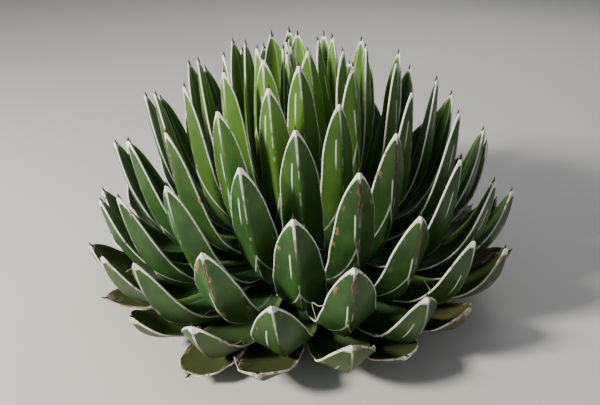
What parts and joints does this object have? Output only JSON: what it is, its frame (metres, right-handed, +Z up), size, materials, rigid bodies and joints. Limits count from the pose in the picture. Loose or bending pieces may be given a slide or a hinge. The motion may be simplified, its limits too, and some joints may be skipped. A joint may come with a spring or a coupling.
{
  "type": "queen victoria agave",
  "caption": "Queen victoria agave: a dense rosette of stiff, keeled green leaves with white margins and dark spines, cut off at its stem.",
  "frame": {"origin": "centre of the flat cut under the stem, on the surface the plant stands on", "axes": "+Z up along the stem, -Y towards the plant's front"},
  "size_m": [0.4171, 0.4198, 0.2529],
  "materials": {
    "leaf": "waxy satin",
    "bud_leaf": "waxy satin",
    "dry_leaf": "dry and rough"
  },
  "bodies": {
    "root": {"leaves": "leaf", "bud": "bud_leaf", "stem_and_dry_leaves": "dry_leaf"}
  },
  "joints": []
}
